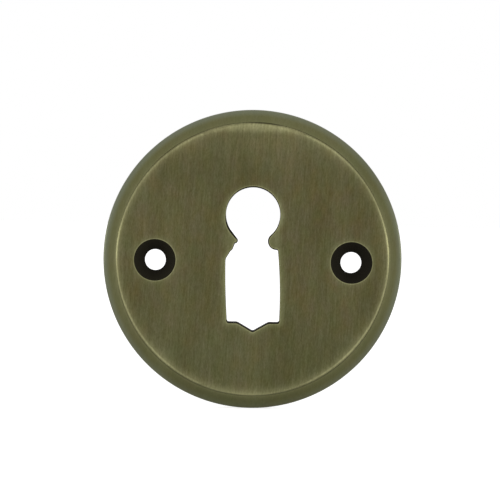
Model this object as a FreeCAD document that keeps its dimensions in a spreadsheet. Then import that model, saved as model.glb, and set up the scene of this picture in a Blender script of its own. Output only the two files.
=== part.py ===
import FreeCAD, Part
import math
import os
import Sketcher
from FreeCAD import Vector

# A round keyhole escutcheon: one solid plate of patinated brass, screwed flat to a door or drawer front.
# Millimetres. X runs to the right and Z up, as the plate is fixed, and Y runs into the door.
# The flat back lies on the plane y = 0 with the plate's centre at the origin, and the front faces -Y.

SIZES = {
    # the turned blank
    "plate_diameter": 50.0,
    "plate_thickness": 3.0,
    "back_chamfer": 0.15,
    # the rim, which falls away from the disc's crease and rounds over into the edge
    "rim_width": 2.1,
    "rim_angle": 15.0,
    "rim_radius": 0.7,
    # the raised disc inside the rim, with a rounded shoulder down to the crease
    "disc_height": 0.5,
    "shoulder_radius": 0.9,
    # the brushing belt runs up and down and rolls the disc off at its top and bottom
    "roll_width": 2.1,
    "roll_radius": 8.0,
    "roll_overrun": 0.3,
    "belt_clearance": 1.0,
    # the keyhole's round head
    "head_radius": 4.56,
    "head_height": 7.48,
    # the round lobe that narrows the keyhole on the right
    "lobe_radius": 1.38,
    "lobe_reach": 3.93,
    "lobe_corner": 0.35,
    # the small nub and the stepped ledge that narrow it on the left
    "nub_radius": 0.47,
    "nub_reach": 2.49,
    "nub_gap": 0.26,
    "ledge_width": 1.16,
    "ledge_drop": 1.47,
    "bevel_width": 0.8,
    "bevel_drop": 1.8,
    "bevel_angle": 59.0,
    "bevel_corner": 1.1,
    # the slot below, with slightly bowed sides
    "slot_right_top": 4.28,
    "slot_right_foot": 4.64,
    "slot_right_bow": 80.0,
    "slot_left_top": 4.52,
    "slot_left_foot": 4.16,
    "slot_left_bow": 120.0,
    "slot_foot": 10.55,
    "foot_corner": 0.35,
    # the pointed foot between the slot's two level ledges
    "point_shift": 0.2,
    "point_drop": 1.43,
    "point_angle": 30.0,
    "point_radius": 0.5,
    "point_bend": 1.2,
    # two countersunk holes for wood screws, each this far in from the plate's edge
    "screw_inset": 8.575,
    "screw_shift": 0.12,
    "screw_drop": 0.33,
    "screw_hole_diameter": 3.55,
    "countersink_diameter": 6.8,
    "countersink_angle": 90.0,
    # the soft front edge that polishing leaves around the keyhole and the countersinks
    "front_edge_radius": 0.12,
}

# how exactly a face must lie in a plane to count as lying in it
FLATNESS = 1e-4

# the points of a sketch's edge, and the sketch's own axes and origin, as a sketch numbers them
START, END, CENTRE = range(1, 4)
LEVEL_AXIS, UPRIGHT_AXIS = -1, -2
ORIGIN = (LEVEL_AXIS, START)

doc = FreeCAD.newDocument("keyhole_escutcheon")
sheet = doc.addObject("Spreadsheet::Sheet", "sizes")
for row, (name, value) in enumerate(SIZES.items(), start=1):
    sheet.set(f"A{row}", name)
    sheet.set(f"B{row}", str(value))
    sheet.setAlias(f"B{row}", name)
doc.recompute()


def size(name):
    """A value of the sheet, for drawing a sketch's edges near the place that its constraints give them."""
    return float(sheet.get(name))


def at(x, y):
    """A point of a sketch."""
    return Vector(x, y, 0)


def towards(degrees, length=1.0):
    """A step in a sketch, turned anticlockwise from its x axis."""
    return Vector(math.cos(math.radians(degrees)) * length, math.sin(math.radians(degrees)) * length, 0)


def plane_of(body, role):
    """One of the body's own origin planes."""
    return next(feature for feature in body.Origin.OriginFeatures if feature.Role == role)


def sketch_on(body, role, name):
    """A new sketch on one of the body's origin planes."""
    sketch = body.newObject("Sketcher::SketchObject", name)
    sketch.AttachmentSupport = [(plane_of(body, role), "")]
    sketch.MapMode = "FlatFace"
    return sketch


def fix(sketch, kind, *items):
    """A plain rule of the sketch, such as a level edge."""
    sketch.addConstraint(Sketcher.Constraint(kind, *items))


def dimension(sketch, name, formula, kind, *items):
    """A named dimension of the sketch that follows the formula."""
    value = float(sketch.evalExpression(formula))
    if kind == "Angle":
        value = math.radians(value)
    index = sketch.addConstraint(Sketcher.Constraint(kind, *items, value))
    sketch.renameConstraint(index, name)
    sketch.setExpression("Constraints." + name, formula)


class Outline:
    """A closed outline of lines and arcs, drawn end to end in a sketch."""

    def __init__(self, sketch, start):
        self.sketch = sketch
        self.pen = start
        self.edges = []

    def line(self, end, smooth=False):
        """A straight edge from the pen to this point, tangent to the edge before it if it is smooth."""
        index = self.sketch.addGeometry(Part.LineSegment(self.pen, end), False)
        self.edges.append((index, START, END))
        self.pen = end
        self.join(-2, -1, smooth)
        return index

    def arc(self, end, centre, clockwise=False, smooth=False):
        """A round edge from the pen to this point about this centre."""
        first, last = (end, self.pen) if clockwise else (self.pen, end)
        start_angle = math.atan2(first.y - centre.y, first.x - centre.x)
        end_angle = math.atan2(last.y - centre.y, last.x - centre.x)
        if end_angle < start_angle:
            end_angle += 2 * math.pi
        circle = Part.Circle(centre, Vector(0, 0, 1), first.distanceToPoint(centre))
        index = self.sketch.addGeometry(Part.ArcOfCircle(circle, start_angle, end_angle), False)
        self.edges.append((index, END, START) if clockwise else (index, START, END))
        self.pen = end
        self.join(-2, -1, smooth)
        return index

    def join(self, before, after, smooth):
        """Fasten the end of one edge to the start of another."""
        if len(self.edges) < 2:
            return
        edge, next_edge = self.edges[before], self.edges[after]
        fix(self.sketch, "Tangent" if smooth else "Coincident", edge[0], edge[2], next_edge[0], next_edge[1])

    def close(self, smooth=False):
        """Fasten the last edge to the first."""
        self.join(-1, 0, smooth)


def turn_blank(body):
    """The plate's section turned about its axis: sketch x is the radius and sketch y the depth."""
    sketch = sketch_on(body, "XY_Plane", "profile")
    radius = size("plate_diameter") / 2
    front = -size("plate_thickness")
    chamfer = size("back_chamfer")
    crease = at(radius - size("rim_width"), front + size("disc_height"))
    shoulder = size("shoulder_radius")
    face_radius = crease.x - math.sqrt(shoulder**2 - (shoulder - size("disc_height")) ** 2)
    rim = size("rim_radius")
    slope = size("rim_angle")
    rim_reach = radius - rim + towards(slope - 90, rim).x
    rim_start = at(rim_reach, crease.y + (rim_reach - crease.x) * math.tan(math.radians(slope)))
    rim_centre = rim_start - towards(slope - 90, rim)

    outline = Outline(sketch, at(0, 0))
    back = outline.line(at(radius - chamfer, 0))
    outline.line(at(radius, -chamfer))
    wall = outline.line(at(radius, rim_centre.y))
    round_over = outline.arc(rim_start, rim_centre, clockwise=True, smooth=True)
    band = outline.line(crease, smooth=True)
    step = outline.arc(at(face_radius, front), at(face_radius, front + shoulder), clockwise=True)
    face = outline.line(at(0, front), smooth=True)
    axis = outline.line(at(0, 0))
    outline.close()
    fix(sketch, "Coincident", back, START, *ORIGIN)
    fix(sketch, "Horizontal", back)
    fix(sketch, "Vertical", wall)
    fix(sketch, "Horizontal", face)
    fix(sketch, "Vertical", axis)
    dimension(sketch, "edge", "sizes.plate_diameter / 2", "DistanceX", *ORIGIN, wall, START)
    dimension(sketch, "thickness", "sizes.plate_thickness", "DistanceY", face, END, *ORIGIN)
    dimension(sketch, "chamfer_width", "sizes.back_chamfer", "DistanceX", back, END, wall, START)
    dimension(sketch, "chamfer_depth", "sizes.back_chamfer", "DistanceY", wall, START, back, END)
    dimension(sketch, "rim_width", "sizes.rim_width", "DistanceX", band, END, wall, START)
    dimension(sketch, "disc_height", "sizes.disc_height", "DistanceY", face, END, band, END)
    dimension(sketch, "shoulder", "sizes.shoulder_radius", "Radius", step)
    dimension(sketch, "round_over", "sizes.rim_radius", "Radius", round_over)
    dimension(sketch, "rim_angle", "sizes.rim_angle", "Angle", LEVEL_AXIS, START, band, END)
    doc.recompute()

    blank = body.newObject("PartDesign::Revolution", "turned_blank")
    blank.Profile = sketch
    blank.ReferenceAxis = (sketch, ["V_Axis"])
    blank.Angle = 360.0
    doc.recompute()


def roll_disc(body):
    """The belt's roll-off at the disc's top, seen from the side, and its mirror image at the bottom."""
    sketch = sketch_on(body, "YZ_Plane", "belt_roll")
    front = -size("plate_thickness")
    roll = size("roll_radius")
    crease = size("plate_diameter") / 2 - size("rim_width")
    low, high = crease - size("roll_width"), crease + size("roll_overrun")
    outside = front - size("belt_clearance")
    reach = front + roll - math.sqrt(roll**2 - (high - low) ** 2)

    outline = Outline(sketch, at(front, low))
    arc = outline.arc(at(reach, high), at(front + roll, low), clockwise=True)
    top = outline.line(at(outside, high))
    outer = outline.line(at(outside, low))
    bottom = outline.line(at(front, low))
    outline.close()
    fix(sketch, "Horizontal", arc, CENTRE, bottom, END)
    fix(sketch, "Horizontal", top)
    fix(sketch, "Vertical", outer)
    fix(sketch, "Horizontal", bottom)
    dimension(sketch, "roll", "sizes.roll_radius", "Radius", arc)
    dimension(sketch, "face", "sizes.plate_thickness", "DistanceX", bottom, END, *ORIGIN)
    clear = "sizes.plate_thickness + sizes.belt_clearance"
    dimension(sketch, "outside", clear, "DistanceX", outer, END, *ORIGIN)
    start = "sizes.plate_diameter / 2 - sizes.rim_width - sizes.roll_width"
    dimension(sketch, "start", start, "DistanceY", *ORIGIN, bottom, END)
    finish = "sizes.plate_diameter / 2 - sizes.rim_width + sizes.roll_overrun"
    dimension(sketch, "finish", finish, "DistanceY", *ORIGIN, top, START)
    doc.recompute()

    top_roll = body.newObject("PartDesign::Pocket", "top_roll")
    top_roll.Profile = sketch
    top_roll.Type = "ThroughAll"
    top_roll.SideType = "Symmetric"
    doc.recompute()
    both_rolls = body.newObject("PartDesign::Mirrored", "both_rolls")
    both_rolls.Originals = [top_roll]
    both_rolls.MirrorPlane = (plane_of(body, "XY_Plane"), [""])
    body.Tip = both_rolls
    doc.recompute()


def bow_centre(start, end, radius):
    """The centre of a clockwise arc of this radius between two points."""
    half = (end - start) * 0.5
    inward = Vector(half.y, -half.x, 0).normalize()
    return start + half + inward * math.sqrt(radius**2 - half.Length**2)


def draw_right_side(outline, head):
    """The lobe below the head, the bowed right side and its bottom corner, drawn downwards."""
    sketch = outline.sketch
    lobe_radius, corner_radius = size("lobe_radius"), size("lobe_corner")
    lobe_fall = math.sqrt((size("head_radius") + lobe_radius) ** 2 - size("lobe_reach") ** 2)
    lobe_centre = at(size("lobe_reach"), head.y - lobe_fall)
    corner_run = size("slot_right_top") - corner_radius - lobe_centre.x
    corner_fall = math.sqrt((lobe_radius + corner_radius) ** 2 - corner_run**2)
    corner_centre = lobe_centre + at(corner_run, -corner_fall)
    lobe_end = lobe_centre + at(corner_run, -corner_fall) * (lobe_radius / (lobe_radius + corner_radius))
    side_top = at(size("slot_right_top"), corner_centre.y)
    foot_radius = size("foot_corner")
    side_foot = at(size("slot_right_foot"), foot_radius - size("slot_foot"))

    head_share = size("head_radius") / (size("head_radius") + lobe_radius)
    outline.pen = head + (lobe_centre - head) * head_share
    lobe = outline.arc(lobe_end, lobe_centre)
    corner = outline.arc(side_top, corner_centre, clockwise=True, smooth=True)
    side_centre = bow_centre(side_top, side_foot, size("slot_right_bow"))
    side = outline.arc(side_foot, side_centre, clockwise=True, smooth=True)
    foot_centre = side_foot - at(foot_radius, 0)
    foot = outline.arc(foot_centre - at(0, foot_radius), foot_centre, clockwise=True, smooth=True)
    dimension(sketch, "lobe", "sizes.lobe_radius", "Radius", lobe)
    dimension(sketch, "lobe_reach", "sizes.lobe_reach", "DistanceX", *ORIGIN, lobe, CENTRE)
    dimension(sketch, "lobe_corner", "sizes.lobe_corner", "Radius", corner)
    dimension(sketch, "right_top", "sizes.slot_right_top", "DistanceX", *ORIGIN, side, END)
    dimension(sketch, "right_foot", "sizes.slot_right_foot", "DistanceX", *ORIGIN, side, START)
    dimension(sketch, "right_bow", "sizes.slot_right_bow", "Radius", side)
    dimension(sketch, "right_corner", "sizes.foot_corner", "Radius", foot)


def draw_foot(outline):
    """The two level ledges and the shallow point between them, drawn from right to left."""
    sketch = outline.sketch
    slope = size("point_angle")
    bend_radius, point_radius = size("point_bend"), size("point_radius")
    ledge = -size("slot_foot")
    point = at(size("point_shift"), ledge - size("point_drop") + point_radius)
    touch = towards(slope - 90, point_radius)
    turn_reach = touch.x + (ledge - point.y - touch.y) / math.tan(math.radians(slope))
    tangent_length = bend_radius * math.tan(math.radians(slope / 2))
    bend_reach = turn_reach - towards(slope, tangent_length).x
    bend_depth = ledge - towards(slope, tangent_length).y
    level_reach = turn_reach + tangent_length
    right_bend, left_bend = at(point.x + level_reach, ledge), at(point.x - level_reach, ledge)

    right_level = outline.line(right_bend, smooth=True)
    bend_end = at(point.x + bend_reach, bend_depth)
    right_arc = outline.arc(bend_end, right_bend - at(0, bend_radius), smooth=True)
    right_incline = outline.line(point + touch, smooth=True)
    tip = outline.arc(point + at(-touch.x, touch.y), point, clockwise=True, smooth=True)
    left_incline = outline.line(at(point.x - bend_reach, bend_depth), smooth=True)
    left_arc = outline.arc(left_bend, left_bend - at(0, bend_radius), smooth=True)
    left_level = outline.line(at(size("foot_corner") - size("slot_left_foot"), ledge), smooth=True)
    fix(sketch, "Horizontal", right_level)
    fix(sketch, "Horizontal", left_level)
    dimension(sketch, "right_ledge", "sizes.slot_foot", "DistanceY", right_level, END, *ORIGIN)
    dimension(sketch, "left_ledge", "sizes.slot_foot", "DistanceY", left_level, END, *ORIGIN)
    dimension(sketch, "right_bend", "sizes.point_bend", "Radius", right_arc)
    dimension(sketch, "left_bend", "sizes.point_bend", "Radius", left_arc)
    dimension(sketch, "right_slope", "sizes.point_angle", "Angle", LEVEL_AXIS, START, right_incline, END)
    left_slope = "180 - sizes.point_angle"
    dimension(sketch, "left_slope", left_slope, "Angle", LEVEL_AXIS, START, left_incline, START)
    dimension(sketch, "point", "sizes.point_radius", "Radius", tip)
    dimension(sketch, "point_shift", "sizes.point_shift", "DistanceX", *ORIGIN, tip, CENTRE)
    depth = "sizes.slot_foot + sizes.point_drop - sizes.point_radius"
    dimension(sketch, "point_depth", depth, "DistanceY", tip, CENTRE, *ORIGIN)


def draw_left_side(outline, head):
    """The bottom corner, the bowed left side, the bevel, the ledge and the nub, drawn upwards."""
    sketch = outline.sketch
    head_radius, nub_radius = size("head_radius"), size("nub_radius")
    nub_run = size("nub_reach") + nub_radius
    nub_distance = head_radius + nub_radius + size("nub_gap")
    nub_centre = head - at(nub_run, math.sqrt(nub_distance**2 - nub_run**2))
    heading = math.degrees(math.atan2(nub_centre.y - head.y, nub_centre.x - head.x))
    tangent_heading = heading - math.degrees(math.acos((head_radius + nub_radius) / nub_distance))
    slot_left = -size("slot_left_top")
    ledge_end = at(slot_left + size("ledge_width"), nub_centre.y - size("ledge_drop"))
    bevel_end = at(slot_left + size("bevel_width"), nub_centre.y - size("bevel_drop"))
    bevel = size("bevel_angle")
    bevel_radius = size("bevel_corner")
    bevel_foot = bevel_end.y - size("bevel_width") * math.tan(math.radians(bevel))
    tangent_length = bevel_radius * math.tan(math.radians((90 - bevel) / 2))
    side_top = at(slot_left, bevel_foot - tangent_length)
    foot_radius = size("foot_corner")
    side_foot = at(-size("slot_left_foot"), foot_radius - size("slot_foot"))

    foot = outline.arc(side_foot, side_foot + at(foot_radius, 0), clockwise=True, smooth=True)
    side_centre = bow_centre(side_foot, side_top, size("slot_left_bow"))
    side = outline.arc(side_top, side_centre, clockwise=True, smooth=True)
    bevel_start = at(slot_left, bevel_foot) + towards(bevel, tangent_length)
    corner = outline.arc(bevel_start, side_top + at(bevel_radius, 0), clockwise=True, smooth=True)
    bevel_line = outline.line(bevel_end, smooth=True)
    ledge = outline.line(ledge_end)
    riser = outline.line(nub_centre - at(0, nub_radius))
    nub = outline.arc(nub_centre - towards(tangent_heading, nub_radius), nub_centre)
    outline.line(head + towards(tangent_heading, head_radius), smooth=True)
    dimension(sketch, "left_corner", "sizes.foot_corner", "Radius", foot)
    dimension(sketch, "left_foot", "sizes.slot_left_foot", "DistanceX", side, END, *ORIGIN)
    dimension(sketch, "left_top", "sizes.slot_left_top", "DistanceX", side, START, *ORIGIN)
    dimension(sketch, "left_bow", "sizes.slot_left_bow", "Radius", side)
    dimension(sketch, "bevel_corner", "sizes.bevel_corner", "Radius", corner)
    dimension(sketch, "bevel_angle", "sizes.bevel_angle", "Angle", LEVEL_AXIS, START, bevel_line, START)
    bevel_width = "sizes.slot_left_top - sizes.bevel_width"
    dimension(sketch, "bevel_width", bevel_width, "DistanceX", bevel_line, END, *ORIGIN)
    ledge_width = "sizes.slot_left_top - sizes.ledge_width"
    dimension(sketch, "ledge_width", ledge_width, "DistanceX", ledge, END, *ORIGIN)
    dimension(sketch, "bevel_drop", "sizes.bevel_drop", "DistanceY", bevel_line, END, nub, CENTRE)
    dimension(sketch, "ledge_drop", "sizes.ledge_drop", "DistanceY", ledge, END, nub, CENTRE)
    fix(sketch, "Vertical", riser, END, nub, CENTRE)
    dimension(sketch, "nub", "sizes.nub_radius", "Radius", nub)
    dimension(sketch, "nub_reach", "sizes.nub_reach + sizes.nub_radius", "DistanceX", nub, CENTRE, *ORIGIN)
    return nub


def cut_keyhole(body):
    """The keyhole's outline, seen from the front, cut through the plate."""
    sketch = sketch_on(body, "XZ_Plane", "keyhole_outline")
    head = at(0, size("head_height"))
    outline = Outline(sketch, head)
    draw_right_side(outline, head)
    draw_foot(outline)
    nub = draw_left_side(outline, head)
    first_lobe_point = sketch.getPoint(0, START)
    head_arc = outline.arc(first_lobe_point, head, clockwise=True, smooth=True)
    outline.close(smooth=True)
    fix(sketch, "PointOnObject", head_arc, CENTRE, UPRIGHT_AXIS)
    dimension(sketch, "head", "sizes.head_radius", "Radius", head_arc)
    dimension(sketch, "head_height", "sizes.head_height", "DistanceY", *ORIGIN, head_arc, CENTRE)
    nub_distance = "sizes.head_radius + sizes.nub_radius + sizes.nub_gap"
    dimension(sketch, "nub_distance", nub_distance, "Distance", nub, CENTRE, head_arc, CENTRE)
    doc.recompute()

    keyhole = body.newObject("PartDesign::Pocket", "keyhole")
    keyhole.Profile = sketch
    keyhole.Type = "ThroughAll"
    keyhole.SideType = "Symmetric"
    doc.recompute()


def drill_screw_holes(body):
    """Two clearance holes, countersunk from the front for flat-headed wood screws."""
    sketch = sketch_on(body, "XZ_Plane", "screw_centres")
    sketch.setExpression("AttachmentOffset.Base.z", "sizes.plate_thickness")
    radius = size("screw_hole_diameter") / 2
    spread = size("plate_diameter") / 2 - size("screw_inset")
    for side, place in ((-1, "left"), (1, "right")):
        centre = at(size("screw_shift") + side * spread, -size("screw_drop"))
        circle = sketch.addGeometry(Part.Circle(centre, Vector(0, 0, 1), radius), False)
        ends = (circle, CENTRE, *ORIGIN) if side < 0 else (*ORIGIN, circle, CENTRE)
        reach = f"sizes.plate_diameter / 2 - sizes.screw_inset + ({side}) * sizes.screw_shift"
        dimension(sketch, place + "_reach", reach, "DistanceX", *ends)
        dimension(sketch, place + "_drop", "sizes.screw_drop", "DistanceY", circle, CENTRE, *ORIGIN)
        dimension(sketch, place + "_radius", "sizes.screw_hole_diameter / 2", "Radius", circle)
    doc.recompute()

    holes = body.newObject("PartDesign::Hole", "screw_holes")
    holes.Profile = sketch
    doc.recompute()
    holes.DepthType = "ThroughAll"
    holes.setExpression("Diameter", "sizes.screw_hole_diameter")
    holes.HoleCutType = "Countersink"
    holes.HoleCutCustomValues = True
    holes.setExpression("HoleCutDiameter", "sizes.countersink_diameter")
    holes.setExpression("HoleCutCountersinkAngle", "sizes.countersink_angle")
    doc.recompute()


def flat_at(face, depth):
    """Whether a face lies wholly at this depth."""
    box = face.BoundBox
    return max(abs(box.YMin - depth), abs(box.YMax - depth)) < FLATNESS


def soften_front_edges(body):
    """A fine rounding where the keyhole and the countersinks meet the front."""
    front = -size("plate_thickness")
    holes = body.Tip
    face = next(item for item in holes.Shape.Faces if flat_at(item, front))
    rims = [edge for wire in face.Wires if not wire.isSame(face.OuterWire) for edge in wire.Edges]
    names = []
    for number, edge in enumerate(holes.Shape.Edges, start=1):
        if any(edge.isSame(rim) for rim in rims):
            names.append(f"Edge{number}")
    edges = body.newObject("PartDesign::Fillet", "front_edges")
    edges.Base = (holes, names)
    edges.setExpression("Radius", "sizes.front_edge_radius")
    doc.recompute()


plate = doc.addObject("PartDesign::Body", "escutcheon_plate")
plate.Label = "escutcheon_plate"
for step in (turn_blank, roll_disc, cut_keyhole, drill_screw_holes, soften_front_edges):
    step(plate)
    print(f"{step.__name__}: {plate.Shape.Volume:.2f} cubic millimetres")

for item in doc.Objects:
    if "Invalid" in item.State or "Error" in item.State:
        raise RuntimeError(f"{item.Name} did not build: {item.State}")
os.makedirs("parts", exist_ok=True)
for body in [item for item in doc.Objects if item.TypeId == "PartDesign::Body"]:
    if body.Shape.isNull() or not body.Shape.isValid() or len(body.Shape.Solids) != 1:
        raise RuntimeError(f"{body.Label} is not one valid solid")
    body.Shape.exportStep(os.path.join("parts", body.Label + ".step"))
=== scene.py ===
import math

import bmesh
import bpy
from mathutils import Matrix, Vector
from mathutils.kdtree import KDTree


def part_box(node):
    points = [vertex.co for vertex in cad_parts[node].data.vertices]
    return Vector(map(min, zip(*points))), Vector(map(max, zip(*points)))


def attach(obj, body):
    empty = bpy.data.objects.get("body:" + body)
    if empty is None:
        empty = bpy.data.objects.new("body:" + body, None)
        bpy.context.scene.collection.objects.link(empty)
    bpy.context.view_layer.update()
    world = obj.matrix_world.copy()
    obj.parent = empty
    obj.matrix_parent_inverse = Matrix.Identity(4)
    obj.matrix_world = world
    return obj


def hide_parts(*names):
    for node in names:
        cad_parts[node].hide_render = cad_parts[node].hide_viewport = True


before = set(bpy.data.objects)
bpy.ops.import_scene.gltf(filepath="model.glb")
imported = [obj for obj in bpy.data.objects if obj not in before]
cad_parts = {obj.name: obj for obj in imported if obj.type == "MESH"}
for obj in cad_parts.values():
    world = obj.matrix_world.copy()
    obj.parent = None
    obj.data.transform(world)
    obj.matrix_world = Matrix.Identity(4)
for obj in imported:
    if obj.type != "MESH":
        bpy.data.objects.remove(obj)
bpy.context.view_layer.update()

# The plate: a disc of brass, turned with a raised face, pierced for a bit key and drilled for two screws.
# It was blackened all over and then brushed up and down on a belt, which left the black in the openings and
# rubbed the disc's edge bright; the bright line there is also part painted highlight. Its flat back lies on the
# door at y = 0, and it is drawn in mm.
MM = 0.001
FRONT_VIEW = Vector((0.0, -1.0, 0.0))
SECTION_VIEW = Vector((0.0, 0.0, 1.0))
RIGHT = Vector((1.0, 0.0, 0.0))
UP = Vector((0.0, 0.0, 1.0))
# the longest steps of a curve and of a line, and the distance within which two places are the same
LONGEST_TURN = math.radians(7.0)
LONGEST_STEP = 0.35
NEAR = 0.001

low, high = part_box("escutcheon_plate")
plate_radius = high.x / MM
front = low.y / MM


def line(mesh, pen, end):
    """Draws a straight run of edges on from a vertex, and gives its last vertex."""
    start = pen.co.copy()
    steps = math.ceil((end - start).length / LONGEST_STEP)
    for step in range(1, steps + 1):
        pen = bmesh.ops.extrude_vert_indiv(mesh, verts=[pen])["verts"][0]
        pen.co = start.lerp(end, step / steps)
    return pen


def arc(mesh, pen, centre, end, axis, long_way=False):
    """Spins a vertex about a centre as far as the direction of end, and gives its last vertex."""
    reach, aim = pen.co - centre, end - centre
    angle = math.atan2(reach.cross(aim).dot(axis), reach.dot(aim))
    if long_way:
        angle -= math.copysign(2 * math.pi, angle)
    steps = math.ceil(max(abs(angle) / LONGEST_TURN, abs(angle) * reach.length / LONGEST_STEP))
    spun = bmesh.ops.spin(mesh, geom=[pen], cent=centre, axis=axis, angle=angle, steps=steps)
    return next(item for item in spun["geom_last"] if isinstance(item, bmesh.types.BMVert))


def open_edges(mesh, depth):
    """The edges at this depth that no face or only one face has so far."""
    return [
        edge for edge in mesh.edges
        if len(edge.link_faces) < 2 and all(abs(vert.co.y - depth) < NEAR for vert in edge.verts)
    ]


def flat_faces(mesh, depth):
    """The faces that lie wholly at this depth."""
    return [face for face in mesh.faces if all(abs(vert.co.y - depth) < NEAR for vert in face.verts)]


plate = bmesh.new()

# the turned section, seen from above: the face, its shoulder, the sloping rim, the edge and the back
rim_width = 2.1
rim_slope = math.radians(15.0)
rim_radius = 0.7
disc_height = 0.5
shoulder_radius = 0.9
back_chamfer = 0.15
turned_width = 4.4
TURNED_STEPS = 360
# the row of points just past the crease, as a share of the slope, where the rim's own wear starts
PAST_CREASE = 0.05
crease = Vector((plate_radius - rim_width, front + disc_height, 0.0))
shoulder_reach = math.sqrt(shoulder_radius**2 - (shoulder_radius - disc_height) ** 2)
shoulder = Vector((crease.x - shoulder_reach, front + shoulder_radius, 0.0))
rim_start_radius = plate_radius - rim_radius + rim_radius * math.sin(rim_slope)
rim_start = crease + Vector((1.0, math.tan(rim_slope), 0.0)) * (rim_start_radius - crease.x)
rim = Vector((plate_radius - rim_radius, rim_start.y + rim_radius * math.cos(rim_slope), 0.0))
flat_radius = plate_radius - turned_width
pen = plate.verts.new((flat_radius, front, 0.0))
pen = line(plate, pen, Vector((shoulder.x, front, 0.0)))
pen = arc(plate, pen, shoulder, crease, SECTION_VIEW)
pen = line(plate, pen, crease.lerp(rim_start, PAST_CREASE))
pen = line(plate, pen, rim_start)
pen = arc(plate, pen, rim, rim + RIGHT * rim_radius, SECTION_VIEW)
pen = line(plate, pen, Vector((plate_radius, -back_chamfer, 0.0)))
pen = line(plate, pen, Vector((plate_radius - back_chamfer, 0.0, 0.0)))
line(plate, pen, Vector((flat_radius, 0.0, 0.0)))
bmesh.ops.spin(
    plate, geom=plate.verts[:] + plate.edges[:], cent=(0, 0, 0), axis=FRONT_VIEW, angle=2 * math.pi,
    steps=TURNED_STEPS, use_merge=True,
)

# the keyhole's outline, clockwise: the lobe on the right, the bowed side below it and its bottom corner
head_height = 7.48
head_radius = 4.56
lobe_radius = 1.38
lobe_reach = 3.93
lobe_corner = 0.35
slot_right_top, slot_right_foot, slot_right_bow = 4.28, 4.64, 80.0
slot_foot = -10.55
foot_corner = 0.35


def spot(x, z):
    """A point of the plate's front."""
    return Vector((x, front, z))


def bow_centre(start, end, radius):
    """The centre of a clockwise arc between two points of the front."""
    half = (end - start) / 2
    inward = half.cross(FRONT_VIEW).normalized()
    return start + half + inward * math.sqrt(radius**2 - half.length_squared)


head = spot(0.0, head_height)
lobe = spot(lobe_reach, head.z - math.sqrt((head_radius + lobe_radius) ** 2 - lobe_reach**2))
corner_run = slot_right_top - lobe_corner - lobe_reach
corner_fall = math.sqrt((lobe_radius + lobe_corner) ** 2 - corner_run**2)
corner = lobe + RIGHT * corner_run - UP * corner_fall
side_top = corner + RIGHT * lobe_corner
side_foot = spot(slot_right_foot, slot_foot + foot_corner)
foot = side_foot - RIGHT * foot_corner
keyhole_start = plate.verts.new(head + (lobe - head).normalized() * head_radius)
pen = arc(plate, keyhole_start, lobe, corner, FRONT_VIEW)
pen = arc(plate, pen, corner, side_top, FRONT_VIEW)
pen = arc(plate, pen, bow_centre(side_top, side_foot, slot_right_bow), side_foot, FRONT_VIEW)
pen = arc(plate, pen, foot, foot - UP, FRONT_VIEW)

# its foot, where two level ledges have a shallow point between them
point_shift = 0.2
point_drop = 1.43
point_slope = math.radians(30.0)
point_radius = 0.5
point_bend = 1.2
point = spot(point_shift, slot_foot - point_drop + point_radius)
right_touch = RIGHT * math.sin(point_slope) - UP * math.cos(point_slope)
left_touch = -RIGHT * math.sin(point_slope) - UP * math.cos(point_slope)
incline_fall = slot_foot - point.z - right_touch.z * point_radius
level_reach = right_touch.x * point_radius + incline_fall / math.tan(point_slope)
level_reach += point_bend * math.tan(point_slope / 2)
right_bend = spot(point.x + level_reach, slot_foot - point_bend)
left_bend = spot(point.x - level_reach, slot_foot - point_bend)
pen = line(plate, pen, right_bend + UP * point_bend)
pen = arc(plate, pen, right_bend, right_bend - right_touch, FRONT_VIEW)
pen = line(plate, pen, point + right_touch * point_radius)
pen = arc(plate, pen, point, point + left_touch, FRONT_VIEW)
pen = line(plate, pen, left_bend - left_touch * point_bend)
pen = arc(plate, pen, left_bend, left_bend + UP, FRONT_VIEW)

# its left side, which bevels in to a small ledge and a nub below the round head
slot_left_top, slot_left_foot, slot_left_bow = -4.52, -4.16, 120.0
nub_radius = 0.47
nub_reach = 2.49
nub_gap = 0.26
ledge_width = 1.16
ledge_drop = 1.47
bevel_width = 0.8
bevel_drop = 1.8
bevel_slope = math.radians(59.0)
bevel_corner = 1.1
nub_run = nub_reach + nub_radius
nub_distance = head_radius + nub_radius + nub_gap
nub = head - RIGHT * nub_run - UP * math.sqrt(nub_distance**2 - nub_run**2)
tangent_turn = math.acos((head_radius + nub_radius) / nub_distance)
tangent = Matrix.Rotation(-tangent_turn, 3, FRONT_VIEW) @ (nub - head).normalized()
bevel_top = spot(slot_left_top + bevel_width, nub.z - bevel_drop)
bevel_run = RIGHT * math.cos(bevel_slope) + UP * math.sin(bevel_slope)
bevel_foot = spot(slot_left_top, bevel_top.z - bevel_width * math.tan(bevel_slope))
corner_run = bevel_corner * math.tan((math.pi / 2 - bevel_slope) / 2)
left_top = bevel_foot - UP * corner_run
left_foot = spot(slot_left_foot, slot_foot + foot_corner)
foot = left_foot + RIGHT * foot_corner
pen = line(plate, pen, foot - UP * foot_corner)
pen = arc(plate, pen, foot, left_foot, FRONT_VIEW)
pen = arc(plate, pen, bow_centre(left_foot, left_top, slot_left_bow), left_top, FRONT_VIEW)
pen = arc(plate, pen, left_top + RIGHT * bevel_corner, bevel_foot + bevel_run * corner_run, FRONT_VIEW)
pen = line(plate, pen, bevel_top)
pen = line(plate, pen, spot(slot_left_top + ledge_width, nub.z - ledge_drop))
pen = line(plate, pen, nub - UP * nub_radius)
pen = arc(plate, pen, nub, nub - tangent, FRONT_VIEW)
pen = line(plate, pen, head + tangent * head_radius)
arc(plate, pen, head, keyhole_start.co.copy(), FRONT_VIEW, long_way=True)
bmesh.ops.remove_doubles(plate, verts=plate.verts, dist=NEAR)

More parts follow.
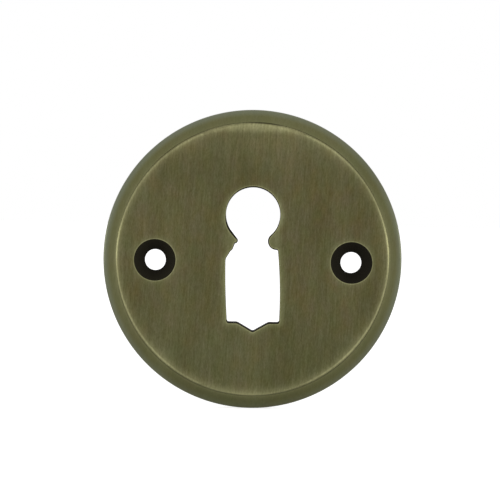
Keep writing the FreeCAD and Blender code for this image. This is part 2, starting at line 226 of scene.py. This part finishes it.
# its walls, and the two screw holes, each a cone that opens to the front
screw_shift = 0.12
screw_drop = 0.33
screw_inset = 8.575
hole_radius = 3.55 / 2
countersink_radius = 6.8 / 2
HOLE_STEPS = 96
FACE_ON = Matrix.Rotation(math.pi / 2, 4, "X")


def draw_in(mesh, edges, depth):
    """Draws a ring of edges in to this depth, and gives the new ring's vertices and edges."""
    made = bmesh.ops.extrude_edge_only(mesh, edges=edges)["geom"]
    verts = [item for item in made if isinstance(item, bmesh.types.BMVert)]
    for vert in verts:
        vert.co.y = depth
    ring = [item for item in made if isinstance(item, bmesh.types.BMEdge) and set(item.verts) <= set(verts)]
    return verts, ring


def loose_edges(mesh):
    """The edges that have no face so far."""
    return [edge for edge in mesh.edges if edge.is_wire]


draw_in(plate, loose_edges(plate), 0.0)
for side in (-1, 1):
    centre = spot(screw_shift + side * (plate_radius - screw_inset), -screw_drop)
    bmesh.ops.create_circle(
        plate, segments=HOLE_STEPS, radius=countersink_radius, matrix=Matrix.Translation(centre) @ FACE_ON,
    )
    cone, cone_edges = draw_in(plate, loose_edges(plate), front + countersink_radius - hole_radius)
    shrink = hole_radius / countersink_radius
    bmesh.ops.scale(plate, verts=cone, vec=(shrink, 1.0, shrink), space=Matrix.Translation(-centre))
    draw_in(plate, cone_edges, 0.0)

# the flat of the face and of the back, between the turned section and the openings
SAME_PLANE = math.radians(0.5)
for depth, facing in ((front, FRONT_VIEW), (0.0, -FRONT_VIEW)):
    bounds = open_edges(plate, depth)
    filled = bmesh.ops.triangle_fill(plate, edges=bounds, use_beauty=True, normal=facing)["geom"]
    inner = [item for item in filled if isinstance(item, bmesh.types.BMEdge) and len(item.link_faces) == 2]
    bmesh.ops.dissolve_limit(plate, angle_limit=SAME_PLANE, verts=[], edges=inner)
bmesh.ops.recalc_face_normals(plate, faces=plate.faces)

# the belt softens the openings' front edges
front_edge = 0.12
FRONT_EDGE_STEPS = 4
inside = flat_radius - NEAR
opening_edges = [
    edge for edge in plate.edges
    if edge.calc_face_angle(0.0) > SAME_PLANE
    and all(abs(vert.co.y - front) < NEAR and vert.co.xz.length < inside for vert in edge.verts)
]
bmesh.ops.bevel(
    plate, geom=opening_edges, offset=front_edge, offset_type="OFFSET", segments=FRONT_EDGE_STEPS,
    profile=0.5, affect="EDGES", material=-1, clamp_overlap=False,
)

# a narrow ring along each edge of the back, and of the face, where an even grid within it carries the wear and
# painted light
RING_WIDTH = 0.1
GRID_STEP = 0.4
GRID_CLEARANCE = 0.3
outside = flat_radius + NEAR
for depth in (0.0, front):
    flats = [
        face for face in flat_faces(plate, depth)
        if all(vert.co.xz.length < outside for vert in face.verts)
    ]
    rings = bmesh.ops.inset_region(
        plate, faces=flats, thickness=RING_WIDTH, use_boundary=True, use_even_offset=True,
    )
rims = {vert for face in rings["faces"] for vert in face.verts}
rim_tree = KDTree(len(rims))
for index, vert in enumerate(rims):
    rim_tree.insert(vert.co, index)
rim_tree.balance()
cells = round(2 * flat_radius / GRID_STEP)
grid = bmesh.ops.create_grid(
    plate, x_segments=cells, y_segments=cells, size=flat_radius,
    matrix=Matrix.Translation(spot(0.0, 0.0)) @ FACE_ON,
)["verts"]
stray = [
    vert for vert in grid
    if rim_tree.find(vert.co)[2] < GRID_CLEARANCE
    or not any(bmesh.geometry.intersect_face_point(face, vert.co) for face in flats)
]
bmesh.ops.delete(plate, geom=stray, context="VERTS")
bmesh.ops.delete(plate, geom=[vert for vert in plate.verts if not vert.link_faces], context="VERTS")
bmesh.ops.delete(plate, geom=flats, context="FACES")
bmesh.ops.triangle_fill(plate, edges=open_edges(plate, front), use_beauty=True, normal=FRONT_VIEW)
bmesh.ops.recalc_face_normals(plate, faces=plate.faces)

# the belt runs on over the top and the bottom, and rolls the disc's face off there
roll_width = 2.1
roll_radius = 8.0
roll_start = crease.x - roll_width
for vert in plate.verts:
    past = abs(vert.co.z) - roll_start
    if past > 0:
        vert.co.y = max(vert.co.y, front + roll_radius - math.sqrt(roll_radius**2 - past**2))
plate.normal_update()

# The wear and the painted light, point by point: how far the belt has cleaned the black off, how bright the
# metal is rubbed or painted with highlight, how pale it is beside an opening, how much painted reflection it
# has and how green it is, and how far it lies from the black line along an opening. Each share runs from 0 to
# 1.
# the back keeps some of the black, and so does the step at the disc's top, where its dark line is part black
# left in the crease and part painted shade
BACK_CLEANING = 0.45
STEP_CLEANING_IN_SHADE = 0.8
step_shade_centre, step_shade_half, step_shade_depth = 1.9, 3.6, 0.25
# the bright line on the disc's edge, part metal rubbed bright and part painted highlight, stronger on the right
# than on the left, which lies further in where the belt runs on and off and at the lower corners, and the glow
# beside it, also part painted highlight, which both gain towards the foot
side_line_radius, top_line_radius, foot_line_radius = 22.7, 22.45, 22.6
foot_line_bend = 0.17
line_width = 0.15
inner_fade, outer_fade, foot_outer_fade = 0.49, 0.24, 0.34
RIGHT_RUB_AND_HIGHLIGHT, LEFT_RUB_AND_HIGHLIGHT, TOP_RUB_AND_HIGHLIGHT, BOTTOM_RUB_AND_HIGHLIGHT = 0.47, 0.34, 0.35, 0.15
GLOW_RUB_AND_HIGHLIGHT = 0.42
LOWER_HIGHLIGHT, LOWER_GLOW = 0.7, 0.2
# the disc's face, made lighter towards the left and the top, its rolled-off ends, part rubbed and part painted
# highlight, stronger at the top than at the bottom, and the greener metal of its lower half
LEFT_FACE_LIGHTENING, TOP_FACE_LIGHTENING = 0.03, 0.09
TOP_ROLL_RUB_AND_HIGHLIGHT, BOTTOM_ROLL_RUB_AND_HIGHLIGHT = 0.18, 0.06
roll_highlight_width = roll_width / 2
FOOT_GREEN = 0.25
face_top_start, face_top_end = 14.0, 21.0
foot_green_start, foot_green_end = -3.0, -18.0
# the rim, which is greener than the disc, with a painted sheen that is stronger at the sides and the top, and a
# painted pale reflection on its outer edge, most at the upper left
BAND_SHEEN, BAND_GREEN = 0.1, 0.5
SIDE_REFLECTION, BOTTOM_REFLECTION, TOP_LEFT_REFLECTION = 0.27, 0.08, 0.1
reflection_start, reflection_end = 23.8, 24.75
# the paler metal beside the keyhole, which takes in the lobe and the nub beside its neck, and is less pale
# round a countersink and above the keyhole's head
pale_width = 1.45
HOLE_PALENESS, HEAD_TOP_PALENESS, NECK_PALENESS = 0.4, 0.4, 0.45
neck_pale_far, neck_pale_near = 5.6, 4.0
# a black line along an edge, wider where the edge runs across the up-and-down grain, in the keyhole's neck and
# round a countersink, and wider still above the nub
edge_black, neck_black, hole_black, nub_black = 0.23, 0.2, 0.11, 0.34
neck_far, neck_near = 5.4, 2.7
nub_black_middle, nub_black_half = math.radians(-143.0), math.radians(38.0)
# a face that looks this little to the front or the back is a wall
WALL_FACING = 0.5


def ramp(value, start, end):
    """A smooth rise from 0 at start to 1 at end."""
    share = min(max((value - start) / (end - start), 0.0), 1.0)
    return share * share * (3 - 2 * share)


def black_width(edge_point):
    """How wide the black line is at this point of the keyhole's edge."""
    from_head = edge_point.co - head
    across_belt = abs(edge_point.normal.z) / edge_point.normal.xz.length
    in_neck = ramp((edge_point.co - spot(0.0, lobe.z)).xz.length, neck_far, neck_near)
    above_nub = 0.0
    if from_head.length < head_radius + nub_gap:
        off_middle = math.atan2(from_head.z, from_head.x) - nub_black_middle
        above_nub = max(1 - (off_middle / nub_black_half) ** 2, 0.0)
    return max(edge_black * across_belt, neck_black * in_neck, nub_black * above_nub)


def disc_edge_rub_and_highlight(reach, across, upright):
    """How bright the line on the disc's edge is at this place, and how bright the glow beside it is; both are
    part rubbed metal and part painted highlight.
    """
    side_rub_and_highlight = RIGHT_RUB_AND_HIGHLIGHT if across > 0 else LEFT_RUB_AND_HIGHLIGHT
    end_rub_and_highlight = TOP_RUB_AND_HIGHLIGHT if upright > 0 else BOTTOM_RUB_AND_HIGHLIGHT
    end_line_radius = top_line_radius if upright > 0 else foot_line_radius
    gap = reach - side_line_radius + (side_line_radius - end_line_radius) * upright**2
    gap += foot_line_bend * (2 * across * min(upright, 0.0)) ** 2
    # painted highlight: the line is made stronger at the sides and the top, and towards the foot
    core = side_rub_and_highlight * across**2 * (1 - LOWER_HIGHLIGHT * upright) + end_rub_and_highlight * upright**2
    fade = inner_fade if gap < 0 else outer_fade + (foot_outer_fade - outer_fade) * max(-upright, 0.0)
    glow = GLOW_RUB_AND_HIGHLIGHT * (1 - LOWER_GLOW * upright) * math.exp(-abs(gap) / fade)
    return core * math.exp(-((gap / line_width) ** 2)), glow


brushed = plate.verts.layers.float.new("brushed")
worn_and_highlit = plate.verts.layers.float.new("worn_and_highlit")
pale = plate.verts.layers.float.new("pale")
rim_reflection = plate.verts.layers.float.new("rim_reflection")
green = plate.verts.layers.float.new("green")
off_black = plate.verts.layers.float.new("off_black")
edge_points = [
    vert for vert in plate.verts
    if vert.co.xz.length < inside and NEAR < vert.co.y - front < front_edge
]
edge_tree = KDTree(len(edge_points))
for index, vert in enumerate(edge_points):
    edge_tree.insert(vert.co, index)
edge_tree.balance()
for vert in plate.verts:
    reach = vert.co.xz.length
    depth = vert.co.y - front
    # the face is made lighter towards the left and the top
    face_lightening = LEFT_FACE_LIGHTENING * (1 - vert.co.x / plate_radius) / 2
    face_lightening += TOP_FACE_LIGHTENING * ramp(vert.co.z, face_top_start, face_top_end)
    vert[green] = FOOT_GREEN * ramp(vert.co.z, foot_green_start, foot_green_end)
    vert[off_black] = 1.0
    if vert.co.y > -NEAR:
        in_wall = reach < inside and any(abs(face.normal.y) < WALL_FACING for face in vert.link_faces)
        vert[brushed] = 0.0 if in_wall else BACK_CLEANING
    elif reach < inside and depth < front_edge - NEAR:
        edge_index, edge_gap = edge_tree.find(vert.co)[1:]
        edge_point = edge_points[edge_index]
        wall_gap = front_edge * (1 - math.sqrt(1 - (1 - max(depth, 0.0) / front_edge) ** 2)) + edge_gap
        at_edge = max(1 - wall_gap / pale_width, 0.0) ** 2
        vert[brushed] = 1.0
        vert[worn_and_highlit] = face_lightening
        by_screw_hole = abs(edge_point.co.x) > plate_radius / 2
        if by_screw_hole:
            vert[off_black] = wall_gap - hole_black
            vert[pale] = HOLE_PALENESS * at_edge
        else:
            from_head = edge_point.co - head
            above_head = max(from_head.z, 0.0) / from_head.length
            vert[off_black] = wall_gap - black_width(edge_point)
            near_neck = ramp((vert.co - spot(0.0, lobe.z)).xz.length, neck_pale_far, neck_pale_near)
            vert[pale] = max(at_edge * (1 - (1 - HEAD_TOP_PALENESS) * above_head), NECK_PALENESS * near_neck)
    elif reach < inside:
        vert[off_black] = -1.0
    else:
        across, upright = vert.co.x / reach, vert.co.z / reach
        over = abs(vert.co.z) - roll_start
        line_rub_and_highlight, glow = disc_edge_rub_and_highlight(reach, across, upright)
        vert[brushed] = 1.0
        if reach > crease.x - NEAR:
            # the rim: a painted sheen, stronger at the sides and the top, and a painted pale reflection towards
            # its edge
            end_share = max(across**2, upright)
            reflection = BOTTOM_REFLECTION + (SIDE_REFLECTION - BOTTOM_REFLECTION) * end_share
            reflection += TOP_LEFT_REFLECTION * max(-2 * across * max(upright, 0.0), 0.0)
            vert[worn_and_highlit] = line_rub_and_highlight + glow + BAND_SHEEN * end_share
            vert[green] = BAND_GREEN
            vert[rim_reflection] = reflection * ramp(reach, reflection_start, reflection_end)
        elif over > 0:
            # the rolled-off ends: part rubbed, part painted highlight of the lamp above, so stronger at the top
            roll_rub_and_highlight = TOP_ROLL_RUB_AND_HIGHLIGHT if upright > 0 else BOTTOM_ROLL_RUB_AND_HIGHLIGHT
            vert[worn_and_highlit] = face_lightening + glow + roll_rub_and_highlight * ramp(over, 0.0, roll_highlight_width)
        else:
            # on the face inside the crease: its lightening, and the line and glow, part rubbed and part painted
            # highlight
            vert[worn_and_highlit] = face_lightening + line_rub_and_highlight + glow
        # the dark line along the step at the disc's top: part black left in the crease, part painted shade
        on_step = shoulder.x + NEAR < reach < crease.x + NEAR and depth > step_shade_depth
        if on_step and vert.co.z > 0 and over > 0:
            step_shade = max(0.0, 1 - ((vert.co.x - step_shade_centre) / step_shade_half) ** 2)
            vert[brushed] = 1 - (1 - STEP_CLEANING_IN_SHADE) * step_shade
            vert[worn_and_highlit] *= 1 - step_shade

# a map in mm that gives the scratches their direction: its first coordinate runs across them
brushing = plate.loops.layers.uv.new("brushing")
for face in plate.faces:
    sideways, frontways, upwards = (abs(part) for part in face.normal)
    for loop in face.loops:
        x, y, z = loop.vert.co
        if frontways >= max(sideways, upwards):
            loop[brushing].uv = (x, z)
        elif sideways >= upwards:
            loop[brushing].uv = (y, z)
        else:
            loop[brushing].uv = (x, y)

SHARP_ANGLE = math.radians(30.0)
bmesh.ops.scale(plate, verts=plate.verts, vec=(MM, MM, MM))
plate_mesh = bpy.data.meshes.new("brushed_plate")
plate.to_mesh(plate_mesh)
plate.free()
plate_mesh.shade_smooth()
plate_mesh.set_sharp_from_angle(angle=SHARP_ANGLE)
brushed_plate = bpy.data.objects.new("brushed_plate", plate_mesh)
bpy.context.scene.collection.objects.link(brushed_plate)


def linear(colour):
    """The linear colour of an sRGB hex value, with its alpha."""
    channels = [int(colour[place:place + 2], 16) / 255 for place in (0, 2, 4)]
    return [*(c / 12.92 if c <= 0.04045 else ((c + 0.055) / 1.055) ** 2.4 for c in channels), 1.0]


def add_node(tree, kind, inputs, output=None, **settings):
    """Adds a node with its settings, fills or links its inputs, and gives the named output or the first."""
    node = tree.nodes.new(kind)
    for name, value in settings.items():
        setattr(node, name, value)
    for identifier, value in inputs.items():
        socket = next(item for item in node.inputs if item.identifier == identifier)
        if isinstance(value, bpy.types.NodeSocket):
            tree.links.new(value, socket)
        else:
            socket.default_value = value
    return next((item for item in node.outputs if output in (None, item.identifier)), None)


# Antique brass, blackened in a bath and brushed up and down on a belt of fine grit. The eye gets an olive
# metal with a soft upright grain, which spreads lamps sideways, with brown, green and grey clouds, black in the
# hollows, a bright line round the disc, part rubbed and part painted highlight, and a greener rim with a
# painted sheen and a painted pale reflection on its edge.
BROWNER = linear("5C5434")
GREENER = linear("55593A")
GREYER = linear("5D5643")
PALER = linear("7A7C58")
BLACKENED = linear("322F27")
RUBBED_AND_HIGHLIT = linear("A7A57A")
REFLECTED_GREY = linear("838C84")
BLACK_ROUGHNESS = 1.0
BRUSHED_ROUGHNESS = 0.4
LEAN = math.radians(3.4)
# Each layer of the grain: how wide and how long its marks are in metres, which way they lean, between which
# levels of the noise it runs, and how far it darkens and lightens the metal. The grit's own scratches, about
# 0.02 mm wide, are too fine to show in a picture of the whole plate, so the finest layer is drawn about ten
# times as wide.
GRAIN_LAYERS = (
    (0.00018, 0.0004, LEAN, 0.25, 0.75, 0.88, 1.12),
    (0.00026, 0.0015, LEAN, 0.25, 0.75, 0.88, 1.12),
    (0.0003, 0.006, LEAN, 0.25, 0.75, 0.92, 1.08),
    (0.0007, 0.012, LEAN, 0.3, 0.7, 0.96, 1.04),
    (0.00025, 0.004, -2 * LEAN, 0.66, 0.76, 1.0, 1.12),
    (0.006, 0.02, LEAN, 0.3, 0.7, 0.87, 1.13),
)
# the clouds that the bath left in the brown: how wide and how tall they are in metres, how strong, and of
# which colour, and between which levels of the noise they run
CLOUDS = (
    (0.0045, 0.0045, 0.45, GREENER),
    (0.0019, 0.0035, 0.45, GREYER),
    (0.0018, 0.003, 0.35, GREENER),
)
CLOUD_LOW, CLOUD_HIGH = 0.35, 0.65
# how far apart in the noise the layers are read, in metres, so that no two are alike
LAYER_SHIFT = 0.1
# how far the rim's grain is calmed, and how much stronger the grain is in its blue and on rubbed metal
BAND_CALM = 0.6
PALER_MARKS = 1.45
RUBBED_MARKS = 1.6
# how softly the black ends, in mm, and the thin light line beside it, part rubbed by the belt and part painted
# edge highlight
BLACK_FADE = 0.04
EDGE_RUB_AND_HIGHLIGHT = 0.4
EDGE_LINE_START, EDGE_LINE_END = 0.05, 0.22
# how deep the scratches are in metres, how strongly they show, and how far they spread a lamp sideways
SCRATCH_DEPTH = 0.00002
SCRATCH_SHARE = 0.5
SIDEWAYS_SPREAD = 0.6

antique_brass = bpy.data.materials.new("brushed_antique_brass")
antique_brass.use_nodes = True
tree = antique_brass.node_tree
tree.nodes.clear()
place = add_node(tree, "ShaderNodeTexCoord", {}, "Object")
greened = add_node(tree, "ShaderNodeAttribute", {}, "Fac", attribute_name="green")
tone = 1.0
for number, (width, length, lean, low_in, high_in, dim, bright) in enumerate(GRAIN_LAYERS):
    marks = add_node(
        tree, "ShaderNodeMapping",
        {"Vector": place, "Location": [LAYER_SHIFT * number] * 3, "Rotation": (0.0, lean, 0.0),
         "Scale": (width, width, length)},
        vector_type="TEXTURE",
    )
    grain = add_node(tree, "ShaderNodeTexNoise", {"Vector": marks, "Scale": 1.0})
    swell = add_node(
        tree, "ShaderNodeMapRange",
        {"Value": grain, "From Min": low_in, "From Max": high_in, "To Min": dim, "To Max": bright},
    )
    tone = add_node(tree, "ShaderNodeMath", {"Value": tone, "Value_001": swell}, operation="MULTIPLY")
calm = add_node(
    tree, "ShaderNodeMapRange",
    {"Value": greened, "From Min": FOOT_GREEN, "From Max": BAND_GREEN, "To Max": BAND_CALM},
)
tone = add_node(
    tree, "ShaderNodeMix", {"Factor_Float": calm, "A_Float": tone, "B_Float": 1.0}, "Result_Float",
)

# its colour: brown with the clouds in it, greener on the rim and the foot, paler by the openings, and grained
brass = BROWNER
for number, (width, height, share, colour) in enumerate(CLOUDS):
    patches = add_node(
        tree, "ShaderNodeMapping",
        {"Vector": place, "Location": [LAYER_SHIFT * number] * 3, "Scale": (width, width, height)},
        vector_type="TEXTURE",
    )
    cloud = add_node(tree, "ShaderNodeTexNoise", {"Vector": patches, "Scale": 1.0})
    clouded = add_node(
        tree, "ShaderNodeMapRange",
        {"Value": cloud, "From Min": CLOUD_LOW, "From Max": CLOUD_HIGH, "To Max": share},
    )
    brass = add_node(
        tree, "ShaderNodeMix", {"Factor_Float": clouded, "A_Color": brass, "B_Color": colour}, "Result_Color",
        data_type="RGBA",
    )
brass = add_node(
    tree, "ShaderNodeMix", {"Factor_Float": greened, "A_Color": brass, "B_Color": GREENER}, "Result_Color",
    data_type="RGBA",
)
paled = add_node(tree, "ShaderNodeAttribute", {}, "Fac", attribute_name="pale")
brass = add_node(
    tree, "ShaderNodeMix", {"Factor_Float": paled, "A_Color": brass, "B_Color": PALER}, "Result_Color",
    data_type="RGBA",
)
blue_tone = add_node(tree, "ShaderNodeMath", {"Value": tone, "Value_001": PALER_MARKS}, operation="POWER")
tint = add_node(tree, "ShaderNodeCombineColor", {"Red": tone, "Green": tone, "Blue": blue_tone})
brass = add_node(
    tree, "ShaderNodeMix", {"Factor_Float": 1.0, "A_Color": brass, "B_Color": tint}, "Result_Color",
    data_type="RGBA", blend_type="MULTIPLY",
)

# the black that is left, the metal that is rubbed bright or painted with highlight, and the painted pale
# reflection on the outer rim
cleaned = add_node(tree, "ShaderNodeAttribute", {}, "Fac", attribute_name="brushed")
off_black = add_node(tree, "ShaderNodeAttribute", {}, "Fac", attribute_name="off_black")
bare = add_node(
    tree, "ShaderNodeMapRange", {"Value": off_black, "From Min": -BLACK_FADE, "From Max": BLACK_FADE},
)
cleaned = add_node(tree, "ShaderNodeMath", {"Value": cleaned, "Value_001": bare}, operation="MULTIPLY")
brass = add_node(
    tree, "ShaderNodeMix", {"Factor_Float": cleaned, "A_Color": BLACKENED, "B_Color": brass}, "Result_Color",
    data_type="RGBA",
)
# the thin light line beside the black: part rubbed, part painted edge highlight
edge_rub_and_highlight = add_node(
    tree, "ShaderNodeMapRange",
    {"Value": off_black, "From Min": EDGE_LINE_END, "From Max": EDGE_LINE_START, "To Max": EDGE_RUB_AND_HIGHLIGHT},
)
edge_rub_and_highlight = add_node(tree, "ShaderNodeMath", {"Value": edge_rub_and_highlight, "Value_001": cleaned}, operation="MULTIPLY")
# the rubbed metal and the painted highlights together
rubbed = add_node(tree, "ShaderNodeAttribute", {}, "Fac", attribute_name="worn_and_highlit")
rubbed = add_node(tree, "ShaderNodeMath", {"Value": rubbed, "Value_001": edge_rub_and_highlight}, operation="ADD")
rub_tone = add_node(tree, "ShaderNodeMath", {"Value": tone, "Value_001": RUBBED_MARKS}, operation="POWER")
rubbed = add_node(tree, "ShaderNodeMath", {"Value": rubbed, "Value_001": rub_tone}, operation="MULTIPLY")
brass = add_node(
    tree, "ShaderNodeMix", {"Factor_Float": rubbed, "A_Color": brass, "B_Color": RUBBED_AND_HIGHLIT}, "Result_Color",
    data_type="RGBA",
)
# painted reflection: the pale grey on the rim's outer edge
reflected = add_node(tree, "ShaderNodeAttribute", {}, "Fac", attribute_name="rim_reflection")
brass = add_node(
    tree, "ShaderNodeMix", {"Factor_Float": reflected, "A_Color": brass, "B_Color": REFLECTED_GREY}, "Result_Color",
    data_type="RGBA",
)

roughness = add_node(
    tree, "ShaderNodeMapRange", {"Value": cleaned, "To Min": BLACK_ROUGHNESS, "To Max": BRUSHED_ROUGHNESS},
)
relief = add_node(
    tree, "ShaderNodeBump", {"Height": tone, "Strength": SCRATCH_SHARE, "Distance": SCRATCH_DEPTH},
)
across_grain = add_node(tree, "ShaderNodeTangent", {}, direction_type="UV_MAP", uv_map="brushing")
surface = add_node(
    tree, "ShaderNodeBsdfPrincipled",
    {"Base Color": brass, "Metallic": 1.0, "Roughness": roughness, "Anisotropic": SIDEWAYS_SPREAD,
     "Tangent": across_grain, "Normal": relief},
)
add_node(tree, "ShaderNodeOutputMaterial", {"Surface": surface})
plate_mesh.materials.append(antique_brass)
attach(brushed_plate, "root")
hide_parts("escutcheon_plate")

# The floor: a wide sheet of matt white paper that the plate stands on by its lowest point.
# It is lifted for the camera and in reflections, so that it shows as white and keeps the plate's soft shadow.
FLOOR_HALF = 3.0
PAPER = linear("E6E6E6")
PAPER_ROUGHNESS = 0.9
WHITE = linear("FFFFFF")
FLOOR_CAMERA_LIFT, FLOOR_MIRROR_LIFT = 0.75, 0.5
paper = bmesh.new()
bmesh.ops.create_grid(
    paper, x_segments=1, y_segments=1, size=FLOOR_HALF, matrix=Matrix.Translation((0.0, 0.0, low.z)),
)
paper_mesh = bpy.data.meshes.new("paper_floor")
paper.to_mesh(paper_mesh)
paper.free()
floor = bpy.data.objects.new("paper_floor", paper_mesh)
bpy.context.scene.collection.objects.link(floor)


def lifted(tree, level, camera_level, mirror_level):
    """A strength that is higher for rays that show the background to the camera, off metal or through glass."""
    for kind, kind_level in (
        ("Is Camera Ray", camera_level),
        ("Is Glossy Ray", mirror_level),
        ("Is Transmission Ray", mirror_level),
    ):
        ray = add_node(tree, "ShaderNodeLightPath", {}, kind)
        lift = add_node(tree, "ShaderNodeMath", {"Value": ray, "Value_001": kind_level}, operation="MULTIPLY")
        level = add_node(tree, "ShaderNodeMath", {"Value": level, "Value_001": lift}, operation="MAXIMUM")
    return level


matt_paper = bpy.data.materials.new("matt_white_paper")
matt_paper.use_nodes = True
tree = matt_paper.node_tree
tree.nodes.clear()
surface = add_node(
    tree, "ShaderNodeBsdfPrincipled",
    {"Base Color": PAPER, "Roughness": PAPER_ROUGHNESS, "Emission Color": WHITE,
     "Emission Strength": lifted(tree, 0.0, FLOOR_CAMERA_LIFT, FLOOR_MIRROR_LIFT)},
)
add_node(tree, "ShaderNodeOutputMaterial", {"Surface": surface})
paper_mesh.materials.append(matt_paper)

# The studio: an even white surround, and soft boxes to the right, to the left and above, in front.
# The side ones stand a little behind the plate's plane, so they light its edge and shoulder and not its face.
SURROUND_LIGHT = 0.55
# the watts that make a square metre of lamp as bright as a white background
WHITE_LAMP = 4.0
studio = bpy.data.worlds.new("white_studio")
bpy.context.scene.world = studio
studio.use_nodes = True
tree = studio.node_tree
tree.nodes.clear()
sky = add_node(
    tree, "ShaderNodeBackground",
    {"Color": WHITE, "Strength": lifted(tree, SURROUND_LIGHT, 1.0, 1.0)},
)
add_node(tree, "ShaderNodeOutputWorld", {"Surface": sky})


def soft_box(name, azimuth, elevation, distance, width, height, brightness):
    """Hangs a rectangular lamp that faces the plate, in a direction from it that is given in degrees."""
    turn, rise = math.radians(azimuth), math.radians(elevation)
    away = Vector((math.sin(turn) * math.cos(rise), -math.cos(turn) * math.cos(rise), math.sin(rise)))
    lamp = bpy.data.lights.new(name, "AREA")
    lamp.shape = "RECTANGLE"
    lamp.size = width
    lamp.size_y = height
    lamp.energy = brightness * WHITE_LAMP * width * height
    box = bpy.data.objects.new(name, lamp)
    box.location = away * distance
    box.rotation_euler = (-away).to_track_quat("-Z", "Y").to_euler()
    bpy.context.scene.collection.objects.link(box)


soft_box(
    "right_soft_box", azimuth=97.0, elevation=2.0, distance=0.7, width=0.25, height=0.2, brightness=3.0,
)
soft_box(
    "left_soft_box", azimuth=-97.0, elevation=2.0, distance=0.7, width=0.25, height=0.2, brightness=2.5,
)
soft_box(
    "top_soft_box", azimuth=-5.0, elevation=19.0, distance=0.8, width=0.6, height=0.1, brightness=0.6,
)

# The camera: in front of the plate and a little above its middle, as the photograph was taken. It is turned
# by about a degree, because the photograph shows the plate turned by as much.
CAMERA_DISTANCE = 0.3322
CAMERA_ELEVATION = math.radians(1.3)
CAMERA_ROLL = math.radians(0.9)
FRAME_WIDTH = 0.08418
AIM = Vector((-0.000435, 0.0, 0.001497))
lens = bpy.data.cameras.new("camera")
lens.lens = lens.sensor_width * CAMERA_DISTANCE / FRAME_WIDTH
camera = bpy.data.objects.new("camera", lens)
away = Vector((0.0, -math.cos(CAMERA_ELEVATION), math.sin(CAMERA_ELEVATION)))
camera.location = AIM + away * CAMERA_DISTANCE
aimed = away.to_track_quat("Z", "Y").to_matrix() @ Matrix.Rotation(CAMERA_ROLL, 3, "Z")
camera.rotation_euler = aimed.to_euler()
bpy.context.scene.collection.objects.link(camera)
bpy.context.scene.camera = camera
bpy.context.scene.view_settings.view_transform = "Standard"
